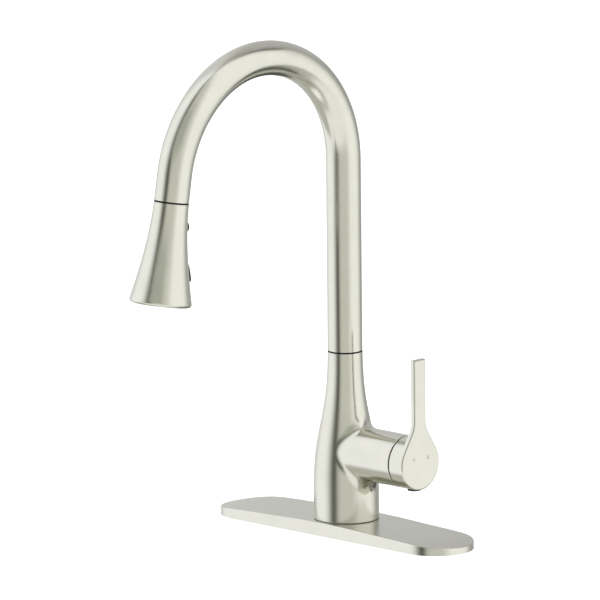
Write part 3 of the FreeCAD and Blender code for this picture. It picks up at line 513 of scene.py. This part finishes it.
@dataclass(frozen=True)
class BraidedHose(Finish):
    """Braided nylon over a rubber hose.

    The eye sees two families of flat strands that wind opposite ways and pass over and under each
    other. Their colour follows the weave's height: mid grey where they cross on top, painted shade
    where they dip lower, and nearly black in the gaps, where the rubber hose shows through.
    """

    tilt: float = 0.0
    centre: tuple[float, float, float] = (0.0, 0.0, 0.0)
    strand_colour: str = "6E6F72"
    # nearly black: the rubber hose seen in the gaps, and the dark end of the painted shade that darkens the
    # strands as they dip
    gap_and_painted_shade_colour: str = "1C1C1E"
    # strands are about 1.2 mm wide: 14 pairs round a hose 11.5 mm across, one turn in 22 mm
    strands: int = 14
    turn_mm: float = 22.0
    strand_depth_mm: float = 0.18
    # nylon fibres are finer than the strand; their fuzz is drawn at 0.4 mm so that it shows
    fibre_mm: float = 0.4
    # share of the weave's crossings in the strands' height
    crossing: float = 0.35

    def family(
        self, tree: bpy.types.NodeTree, angle: bpy.types.NodeSocket, height: bpy.types.NodeSocket, hand: int
    ) -> bpy.types.NodeSocket:
        """One family of strands: the sine of strands times (angle plus or minus the turn along the hose).

        Args:
            tree: the material's node tree.
            angle: angle round the hose, in radians.
            height: distance along the hose, in metres.
            hand: 1 or -1, which way the strands wind.

        Returns:
            A socket that runs from -1 in the gaps to 1 on the strands.
        """
        turn = 2 * math.pi * hand / (self.turn_mm * MM)
        winding = {0: height, 1: turn, 2: angle}
        wound = add_node(tree, "ShaderNodeMath", winding, operation="MULTIPLY_ADD").outputs[0]
        many = {0: wound, 1: float(self.strands)}
        phase = add_node(tree, "ShaderNodeMath", many, operation="MULTIPLY").outputs[0]
        return add_node(tree, "ShaderNodeMath", {0: phase}, operation="SINE").outputs[0]

    def shade(self, tree: bpy.types.NodeTree) -> bpy.types.Node:
        """Weaves the two families and joins colour and height; the colour follows the height, so it paints
        shade on the strands where they dip.

        Args:
            tree: the material's node tree.

        Returns:
            The shader node.
        """
        place = add_node(tree, "ShaderNodeTexCoord").outputs["Object"]
        shift = {0: place, 1: self.centre}
        centred = add_node(tree, "ShaderNodeVectorMath", shift, operation="SUBTRACT").outputs[0]
        upright = {"Vector": centred, "Rotation": (self.tilt, 0, 0)}
        local = add_node(tree, "ShaderNodeMapping", upright).outputs[0]
        x, y, z = add_node(tree, "ShaderNodeSeparateXYZ", {0: local}).outputs
        angle = add_node(tree, "ShaderNodeMath", {0: y, 1: x}, operation="ARCTAN2").outputs[0]
        right = self.family(tree, angle, z, 1)
        left = self.family(tree, angle, z, -1)
        weave = add_node(tree, "ShaderNodeMath", {0: right, 1: left}, operation="MULTIPLY").outputs[0]
        upper = add_node(tree, "ShaderNodeMath", {0: right, 1: left}, operation="MAXIMUM").outputs[0]
        woven = {0: weave, 1: self.crossing, 2: upper}
        height = add_node(tree, "ShaderNodeMath", woven, operation="MULTIPLY_ADD").outputs[0]
        rise = {"Value": height, "From Min": -0.4, "From Max": 0.9}
        level = add_node(tree, "ShaderNodeMapRange", rise).outputs[0]
        fibres = {"Vector": local, "Scale": 1 / (self.fibre_mm * MM), "Detail": 2.0}
        fuzz = add_node(tree, "ShaderNodeTexNoise", fibres).outputs[0]
        matt = {"Value": fuzz, "To Min": 0.38, "To Max": 0.6}
        rough = add_node(tree, "ShaderNodeMapRange", matt).outputs[0]
        # painted shade: the strands' grey darkens with the weave's height, down to the hose's black in the
        # gaps
        tones = {0: level, 6: linear(self.gap_and_painted_shade_colour), 7: linear(self.strand_colour)}
        tone = add_node(tree, "ShaderNodeMix", tones, data_type="RGBA").outputs[2]
        bump = add_node(
            tree,
            "ShaderNodeBump",
            {"Height": level, "Strength": 1.0, "Distance": self.strand_depth_mm * MM},
        )
        return add_node(
            tree,
            "ShaderNodeBsdfPrincipled",
            {"Base Color": tone, "Roughness": rough, "IOR": 1.53, "Normal": bump.outputs[0]},
        )


@dataclass(frozen=True)
class LightTable(Finish):
    """Opal acrylic lit from below, with the faint mottle of its satin face: the stage, not the faucet."""

    colour: str = "F6F6F4"
    glow: float = 0.55

    def shade(self, tree: bpy.types.NodeTree) -> bpy.types.Node:
        """Joins the mottle and the glow.

        Args:
            tree: the material's node tree.

        Returns:
            The shader node.
        """
        place = add_node(tree, "ShaderNodeTexCoord").outputs["Object"]
        mottle = add_node(tree, "ShaderNodeTexNoise", {"Vector": place, "Scale": 60.0, "Detail": 2.0})
        satin = {"Value": mottle.outputs[0], "To Min": 0.7, "To Max": 0.8}
        rough = add_node(tree, "ShaderNodeMapRange", satin).outputs[0]
        return add_node(
            tree,
            "ShaderNodeBsdfPrincipled",
            {
                "Base Color": linear(self.colour),
                "Roughness": rough,
                "Emission Color": (1.0, 1.0, 1.0, 1.0),
                "Emission Strength": self.glow,
            },
        )


@dataclass
class FinishShelf:
    """Every finish of the faucet, built once."""

    black_acetal: bpy.types.Material = field(init=False)
    grey_abs: bpy.types.Material = field(init=False)
    white_acetal: bpy.types.Material = field(init=False)
    nitrile: bpy.types.Material = field(init=False)
    silicone: bpy.types.Material = field(init=False)
    pale_silicone: bpy.types.Material = field(init=False)
    brass: bpy.types.Material = field(init=False)
    copper: bpy.types.Material = field(init=False)
    stainless: bpy.types.Material = field(init=False)
    alumina: bpy.types.Material = field(init=False)
    sign_paint: bpy.types.Material = field(init=False)
    nickel: dict[Grain, bpy.types.Material] = field(init=False)

    def __post_init__(self) -> None:
        """Builds the materials."""
        self.black_acetal = Moulded("black_acetal_moulded", "121211", "0C0C0B", 0.55, specular=0.2).build()
        self.grey_abs = Moulded("grey_abs_moulded", "77797B", "6E7072", 0.42, ior=1.54).build()
        self.white_acetal = Moulded("white_acetal_moulded", "E6E5E0", "DAD9D3", 0.4, ior=1.48).build()
        self.nitrile = Moulded("nitrile_rubber_moulded", "232323", "191919", 0.62, ior=1.52).build()
        self.silicone = Moulded("grey_silicone_moulded", "4C4E50", "424446", 0.55, 0.3, ior=1.41).build()
        self.pale_silicone = Moulded("pale_silicone_moulded", "8E8F8A", "848580", 0.5, 0.3, ior=1.41).build()
        self.alumina = Moulded("alumina_lapped", "F3F1EA", "EAE8E0", 0.22, 0.8, 0.001, ior=1.76).build()
        self.sign_paint = Moulded("sign_paint_filled", "B4B5AC", "A6A79E", 0.5, 0.3, ior=1.5).build()
        self.brass = MachinedMetal("brass_turned").build()
        self.copper = MachinedMetal("copper_drawn", "C98A63", "A86E4B", 0.34).build()
        self.stainless = MachinedMetal("stainless_turned", "B9B9B7", "9C9C9A", 0.28).build()
        self.nickel = {g: BrushedNickel(f"nickel_brushed_{g.name.lower()}", g).build() for g in Grain}


# ---- sub-assemblies --------------------------------------------------------------------------------
@dataclass
class DeckMount:
    """Deck plate, liner, gasket and the threaded shank below."""

    finishes: FinishShelf
    crest_radius: float = 16.5 * MM
    bore_radius: float = 14.3 * MM
    collar_radius: float = 16.2 * MM
    thread_pitch: float = 1.5 * MM
    thread_depth: float = 0.9 * MM
    below: float = 60.0 * MM
    collar_top: float = 28.0 * MM
    columns: int = 96
    rows_per_turn: int = 8
    # the thread runs in over a chamfered tip, and runs out below the collar
    tip_chamfer: float = 0.6 * MM
    run_in: float = 2.0 * MM
    run_out: float = 3.0 * MM

    def thread(self) -> bpy.types.Object:
        """Cuts the thread into the shank.

        At angle a and height h the outside radius is the crest radius less the depth times
        clip(1.6 |2 frac(h / pitch - a / turn) - 1| - 0.3, 0, 1): flat crests and roots joined by
        flanks. The depth fades to nothing over the run-in and the run-out.

        Returns:
            The shank, closed by its bore and both end faces.
        """
        turns = int(round(self.below / self.thread_pitch))
        height = np.linspace(-self.below, 0.0, turns * self.rows_per_turn + 1)[:, None]
        angle = (np.arange(self.columns) * 2 * np.pi / self.columns)[None, :]
        phase = (height / self.thread_pitch - angle / (2 * np.pi)) % 1.0
        groove = np.clip(1.6 * np.abs(2 * phase - 1) - 0.3, 0, 1)
        past_tip = height + self.below
        fade = np.clip(past_tip / self.run_in, 0, 1) * np.clip(-height / self.run_out, 0, 1)
        radius = self.crest_radius - self.thread_depth * groove * fade
        radius = radius - np.clip(self.tip_chamfer - past_tip, 0, self.tip_chamfer)
        outside = np.stack([radius * np.cos(angle), radius * np.sin(angle), height + 0 * angle], axis=2)
        section = np.array(
            [
                (self.collar_radius, 0.0),
                (self.collar_radius, self.collar_top),
                (self.bore_radius, self.collar_top),
                (self.bore_radius, -self.below),
            ]
        )
        rest = turned_rows(section, self.columns)
        return ring_surface("shank_thread", np.concatenate([outside, rest]), crisp_deg=40.0)

    def build(self) -> None:
        """Makes the thread and dresses the deck's nodes."""
        shank = self.thread()
        clothe(shank, self.finishes.brass)
        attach(shank, "faucet_body")
        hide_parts("mounting_shank")
        dress("deck_plate", self.finishes.nickel[Grain.ALONG_PLATE])
        dress("plate_liner", self.finishes.white_acetal)
        dress("deck_gasket", self.finishes.nitrile)
        dress("base_seal", self.finishes.pale_silicone)
        for stub in ("hot_inlet_stub", "cold_inlet_stub", "mixed_outlet_stub"):
            dress(stub, self.finishes.copper)


@dataclass
class FaucetBody:
    """Tapered body, its side housing, and the valve inside."""

    finishes: FinishShelf

    def build(self) -> None:
        """Dresses the body and the valve."""
        shelf = self.finishes
        dress("body_casting", shelf.nickel[Grain.ROUND_UPRIGHT])
        dress("dome_cap", shelf.nickel[Grain.ROUND_VALVE])
        dress("retaining_nut", shelf.brass)
        for node in ("cartridge_base", "cartridge_casing", "cartridge_rotor", "disc_carrier"):
            dress(node, shelf.white_acetal)
        for node in ("fixed_ceramic_disc", "moving_ceramic_disc"):
            dress(node, shelf.alumina)
        dress("cartridge_seals", shelf.nitrile)
        dress("stem_pivot_pin", shelf.stainless)


@dataclass
class Lever:
    """Lever with its hub, stem, set screw, plug and signs."""

    finishes: FinishShelf

    def build(self) -> None:
        """Dresses the lever's nodes."""
        shelf = self.finishes
        dress("lever_handle", shelf.nickel[Grain.ALONG_LEVER])
        dress("valve_stem", shelf.brass)
        dress("handle_set_screw", shelf.stainless)
        dress("set_screw_plug", shelf.black_acetal)
        for sign in ("cold_mark", "hot_mark"):
            dress(sign, shelf.sign_paint)


@dataclass
class Spout:
    """Gooseneck with its swivel and its dock."""

    finishes: FinishShelf

    def build(self) -> None:
        """Dresses the spout's nodes."""
        shelf = self.finishes
        dress("spout_tube", shelf.nickel[Grain.ROUND_BEND])
        dress("spout_stem", shelf.brass)
        dress("swivel_orings", shelf.nitrile)
        dress("spout_snap_ring", shelf.stainless)
        for node in ("lower_swivel_bush", "upper_swivel_bush"):
            dress(node, shelf.white_acetal)
        for node in ("swivel_ring", "dock_bush"):
            dress(node, shelf.black_acetal)


@dataclass
class SprayHose:
    """Braided hose from the shank to the head, with its crimped ferrules."""

    finishes: FinishShelf
    radius: float = 5.75 * MM
    bore: float = 3.6 * MM
    low_end: float = -52.0 * MM
    ferrule_low: float = 3.5 * MM
    ferrule_high: float = 13.0 * MM
    ferrule_below: float = 14.0 * MM     # length of the lower sleeve
    ferrule_wall: float = 0.95 * MM      # sleeve's outside over the hose's
    ferrule_gap: float = 0.05 * MM       # sleeve's bore over the hose's outside
    ferrule_chamfer: float = 0.25 * MM
    crimp_depth: float = 0.45 * MM
    join_inside: float = 1.5 * MM        # how far past the bend the drawn stretch starts
    overlap: float = 1.0 * MM
    columns: int = 28
    ferrule_columns: int = 48

    def tube(self, name: str, distance: np.ndarray) -> bpy.types.Object:
        """Carries the hose's wall along the spout's line.

        With c the line's point and t its way at a distance, and n = t x X, the outside ring is
        c + R (cos a X + sin a n) and the inside ring the same with the bore's radius.

        Args:
            name: the piece's name.
            distance: distances along the line, increasing.

        Returns:
            The hose, closed at both ends.
        """
        centre, way = LINE.at(distance)
        side = np.array([1.0, 0.0, 0.0])
        other = np.cross(way, side)
        angle = np.arange(self.columns) * 2 * np.pi / self.columns
        ring = np.cos(angle)[None, :, None] * side + np.sin(angle)[None, :, None] * other[:, None, :]
        outside = centre[:, None, :] + self.radius * ring
        inside = centre[::-1, None, :] + self.bore * ring[::-1]
        return ring_surface(name, np.concatenate([outside, inside]))

    def ferrule(self, name: str, low: float, high: float) -> bpy.types.Object:
        """A crimped sleeve about Z.

        The outside radius is the sleeve's radius less the crimp's depth times the fourth power of
        sin(3 pi u), with u from 0 to 1 along the sleeve: three narrow rolled grooves.

        Args:
            name: the piece's name.
            low: height of the lower end.
            high: height of the upper end.

        Returns:
            The sleeve, in the frame that low and high are measured in.
        """
        u = np.linspace(0, 1, 49)
        outer = self.radius + self.ferrule_wall - self.crimp_depth * np.sin(3 * np.pi * u) ** 4
        outer = outer - self.ferrule_chamfer * (np.abs(2 * u - 1) > 0.99)
        outside = np.stack([outer, low + (high - low) * u], axis=1)
        inner = self.radius + self.ferrule_gap
        section = np.concatenate([outside, [(inner, high), (inner, low)]])
        return ring_surface(name, turned_rows(section, self.ferrule_columns), crisp_deg=50.0)

    def build(self) -> None:
        """Makes the hose in two stretches, the ferrules, and dresses the fittings."""
        shelf = self.finishes
        head = LINE.head_matrix()
        join = LINE.length - LINE.outlet + self.join_inside
        end = LINE.length - self.ferrule_low
        fixed = self.tube("hose_in_spout", np.linspace(self.low_end, join, 260))
        clothe(fixed, BraidedHose("nylon_braided_upright").build())
        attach(fixed, "spout")
        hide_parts("spray_hose")

        drawn = self.tube("hose_drawn_out", np.linspace(join - self.overlap, end, 420))
        clothe(drawn, BraidedHose("nylon_braided_outlet", LINE.tilt, tuple(head.translation)).build())
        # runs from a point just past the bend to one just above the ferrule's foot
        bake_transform(drawn)

        upper = self.ferrule("crimped_upper_ferrule", self.ferrule_low, self.ferrule_high)
        upper.data.transform(head)
        clothe(upper, shelf.stainless)
        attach(upper, "hose_end")
        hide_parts("upper_hose_ferrule")

        lower = self.ferrule("crimped_lower_ferrule", self.low_end, self.low_end + self.ferrule_below)
        clothe(lower, shelf.stainless)
        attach(lower, "spout")
        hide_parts("lower_hose_ferrule")

        dress("hose_end_nipple", shelf.brass)
        dress("hose_swivel_tail", shelf.brass)
        dress("hose_swivel_oring", shelf.nitrile)
        LOG.info("hose: %.0f mm long", (end - self.low_end) / MM)


@dataclass
class SprayHead:
    """Bell-shaped pull-down head with its rocker, waterway and spray face."""

    finishes: FinishShelf

    def build(self) -> None:
        """Dresses the head's nodes."""
        shelf = self.finishes
        dress("head_shell", shelf.nickel[Grain.ROUND_HEAD])
        for node in ("mode_rocker", "rocker_tray"):
            dress(node, shelf.black_acetal)
        for node in ("head_inlet", "head_core", "flow_manifold", "spray_face", "aerator_housing"):
            dress(node, shelf.grey_abs)
        for node in ("check_valve_body", "check_valve_poppet", "diverter_plunger"):
            dress(node, shelf.white_acetal)
        dress("nozzle_mat", shelf.silicone)
        dress("hose_nut", shelf.brass)
        for node in ("aerator_screen", "rocker_pin"):
            dress(node, shelf.stainless)


# ---- studio ----------------------------------------------------------------------------------------
ALL_ROUND = 400.0  # half width, in degrees, of a panel that has no sides


@dataclass(frozen=True)
class Panel:
    """One soft-edged panel or gap of the studio, seen from the faucet.

    azimuth is measured from the key direction, anticlockwise seen from above, and every angle is in
    degrees. The panel's light replaces the light behind it, and fades in over its edge.
    """

    azimuth: float
    half_width: float
    elevation: float
    half_height: float
    edge: float
    colour: str
    strength: float


@dataclass
class Studio:
    """Light table, worktop, and the walls and panels of a plain studio around them."""

    key_azimuth: float = 44.44
    half_width: float = 3.0
    table_drop: float = 0.30
    table_thick: float = 0.02
    worktop_front: float = -0.12
    worktop_thick: float = 0.09
    wall_strength: float = 2.2

    wall_colour: str = "9C9C9C"
    panels: tuple[Panel, ...] = (
        # near wall, and the left and right walls that run back to the far one
        Panel(0.0, 40.0, 0.0, ALL_ROUND, 40.0, "A6A6A2", 2.2),
        Panel(-148.0, 22.0, 0.0, ALL_ROUND, 16.0, "AAAAAC", 2.2),
        Panel(142.0, 22.0, 0.0, ALL_ROUND, 30.0, "828282", 2.2),
        # left and right softboxes, and the black flag in front of the left one
        Panel(-102.0, 32.0, 0.0, ALL_ROUND, 32.0, "CCCCD0", 2.2),
        Panel(72.0, 38.0, 0.0, ALL_ROUND, 36.0, "CCCCCC", 2.2),
        Panel(-45.0, 12.0, 0.0, ALL_ROUND, 24.0, "38382F", 2.2),
        # the floor between the table and the walls, and the lit table itself
        Panel(0.0, ALL_ROUND, -55.0, 22.0, 6.0, "B4B4B0", 1.45),
        Panel(0.0, ALL_ROUND, -90.0, 14.0, 6.0, "FFFFFF", 1.5),
        # upper half of the far wall, and the dark side of the worktop below it
        Panel(157.0, 24.0, 34.0, 22.0, 10.0, "939294", 2.2),
        Panel(160.0, 25.0, -38.0, 18.0, 8.0, "5C5C57", 1.0),
        # upper half of the near wall, a shade darker than its foot
        Panel(-18.0, 27.0, 36.0, 18.0, 14.0, "8B8D87", 2.2),
        # the lit table's front, below the horizon
        Panel(0.0, 75.0, -44.0, 20.0, 10.0, "FFFFFF", 1.25),
        # gaps beside the right softbox, above and below the horizon
        Panel(113.0, 7.0, 50.0, 20.0, 7.0, "5A5A54", 1.0),
        Panel(114.0, 11.0, -46.0, 18.0, 7.0, "5E5E58", 1.0),
    )

    def slab(self, name: str, low: Vector, high: Vector, material: bpy.types.Material) -> None:
        """Makes a box between two corners, as a stage piece.

        Args:
            name: the object's name.
            low: lowest corner.
            high: highest corner.
            material: its finish.
        """
        x, y, z = ((low[k], high[k]) for k in range(3))
        corners = [(a, b, c) for a in x for b in y for c in z]
        faces = [(0, 1, 3, 2), (4, 6, 7, 5), (0, 4, 5, 1), (2, 3, 7, 6), (0, 2, 6, 4), (1, 5, 7, 3)]
        mesh = bpy.data.meshes.new(name)
        mesh.from_pydata(corners, [], faces)
        made = bpy.data.objects.new(name, mesh)
        bpy.context.scene.collection.objects.link(made)
        made.data.materials.append(material)
        made.visible_glossy = False

    def window(
        self, tree: bpy.types.NodeTree, angle: bpy.types.NodeSocket, centre: float, half: float, edge: float
    ) -> bpy.types.NodeSocket:
        """One within half of the centre, and nothing beyond, with a smooth step over the edge.

        Args:
            tree: the world's node tree.
            angle: the angle to test, in degrees.
            centre: middle of the window.
            half: half of the window's width.
            edge: width of the fade.

        Returns:
            The window's share, from 0 to 1.
        """
        off = add_node(tree, "ShaderNodeMath", {0: angle, 1: centre}, operation="SUBTRACT").outputs[0]
        away = add_node(tree, "ShaderNodeMath", {0: off}, operation="ABSOLUTE").outputs[0]
        fade = {"Value": away, "From Min": half + edge / 2, "From Max": half - edge / 2}
        return add_node(tree, "ShaderNodeMapRange", fade, interpolation_type="SMOOTHSTEP").outputs[0]

    def sky(self) -> None:
        """Builds the world: white behind the faucet, and the walls and panels to every other ray."""
        world = bpy.data.worlds.new("studio_walls")
        bpy.context.scene.world = world
        world.use_nodes = True
        tree = world.node_tree
        tree.nodes.clear()
        way = add_node(tree, "ShaderNodeTexCoord").outputs["Generated"]
        turn = {"Vector": way, "Angle": -math.radians(self.key_azimuth)}
        turned = add_node(tree, "ShaderNodeVectorRotate", turn, rotation_type="Z_AXIS").outputs[0]
        x, y, z = add_node(tree, "ShaderNodeSeparateXYZ", {0: turned}).outputs
        towards = add_node(tree, "ShaderNodeMath", {0: y, 1: -1.0}, operation="MULTIPLY").outputs[0]
        azimuth = add_node(tree, "ShaderNodeMath", {0: x, 1: towards}, operation="ARCTAN2").outputs[0]
        azimuth = add_node(tree, "ShaderNodeMath", {0: azimuth}, operation="DEGREES").outputs[0]
        elevation = add_node(tree, "ShaderNodeMath", {0: z}, operation="ARCSINE").outputs[0]
        elevation = add_node(tree, "ShaderNodeMath", {0: elevation}, operation="DEGREES").outputs[0]
        light = [self.wall_strength * c for c in linear(self.wall_colour)[:3]] + [1.0]
        for panel in self.panels:
            across = self.window(tree, azimuth, panel.azimuth, panel.half_width, panel.edge)
            up = self.window(tree, elevation, panel.elevation, panel.half_height, panel.edge)
            share = add_node(tree, "ShaderNodeMath", {0: across, 1: up}, operation="MULTIPLY").outputs[0]
            glow = [panel.strength * c for c in linear(panel.colour)[:3]] + [1.0]
            light = add_node(
                tree, "ShaderNodeMix", {0: share, 6: light, 7: glow}, data_type="RGBA", clamp_result=False
            ).outputs[2]
        lit = add_node(tree, "ShaderNodeBackground", {"Color": light})
        white = add_node(tree, "ShaderNodeBackground", {"Color": (1.0, 1.0, 1.0, 1.0)})
        seen = add_node(tree, "ShaderNodeLightPath").outputs["Is Camera Ray"]
        mixed = add_node(tree, "ShaderNodeMixShader", {0: seen, 1: lit.outputs[0], 2: white.outputs[0]})
        add_node(tree, "ShaderNodeOutputWorld", {"Surface": mixed.outputs[0]})

    def build(self) -> None:
        """Makes the stage and the sky, and sets the plain view transform."""
        material = LightTable("opal_acrylic_lit").build()
        wide, drop = self.half_width, self.table_drop
        low, high = Vector((-wide, self.worktop_front, -self.worktop_thick)), Vector((wide, wide, 0.0))
        self.slab("worktop", low, high, material)
        low, high = Vector((-wide, -wide, -drop - self.table_thick)), Vector((wide, wide, -drop))
        self.slab("light_table", low, high, material)
        self.sky()
        scene = bpy.context.scene
        scene.view_settings.view_transform = "Standard"
        scene.view_settings.look = "None"
        LOG.info("studio: ready")


@dataclass
class ProductCamera:
    """A long lens far away, so that upright edges stay upright.

    The camera looks along the heading given by azimuth and elevation, and aims at a point a little
    left of and above the frame's origin.
    """

    azimuth: float = 44.441
    elevation: float = 11.625
    roll: float = -0.536
    distance: float = 14.0
    lens_mm: float = 1078.48
    sensor_mm: float = 36.0
    aim_left: float = 0.03636
    aim_up: float = 0.17942

    def build(self) -> None:
        """Places the camera and makes it the scene's own."""
        a, e, r = (math.radians(v) for v in (self.azimuth, self.elevation, self.roll))
        forward = Vector((-math.sin(a) * math.cos(e), math.cos(a) * math.cos(e), -math.sin(e)))
        level_right = Vector((math.cos(a), math.sin(a), 0.0))
        level_up = level_right.cross(forward)
        right = level_right * math.cos(r) + level_up * math.sin(r)
        up = level_up * math.cos(r) - level_right * math.sin(r)
        place = up * self.aim_up - right * self.aim_left - forward * self.distance
        data = bpy.data.cameras.new("product_camera")
        data.lens, data.sensor_width = self.lens_mm, self.sensor_mm
        data.clip_start, data.clip_end = 0.1, 100.0
        camera = bpy.data.objects.new("product_camera", data)
        bpy.context.scene.collection.objects.link(camera)
        turn = Matrix((right, up, -forward)).transposed().to_4x4()
        camera.matrix_world = Matrix.Translation(place) @ turn
        bpy.context.scene.camera = camera
        LOG.info("camera: %.1f m away, %.0f mm lens", self.distance, self.lens_mm)


def main() -> None:
    """Builds the camera, the faucet's looks and the studio, in that order."""
    logging.basicConfig(level=logging.INFO, format="%(name)s: %(message)s")
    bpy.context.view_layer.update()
    ProductCamera().build()
    shelf = FinishShelf()
    for assembly in (DeckMount, FaucetBody, Lever, Spout, SprayHose, SprayHead):
        assembly(shelf).build()
    Studio().build()


if __name__ == "__main__":
    main()
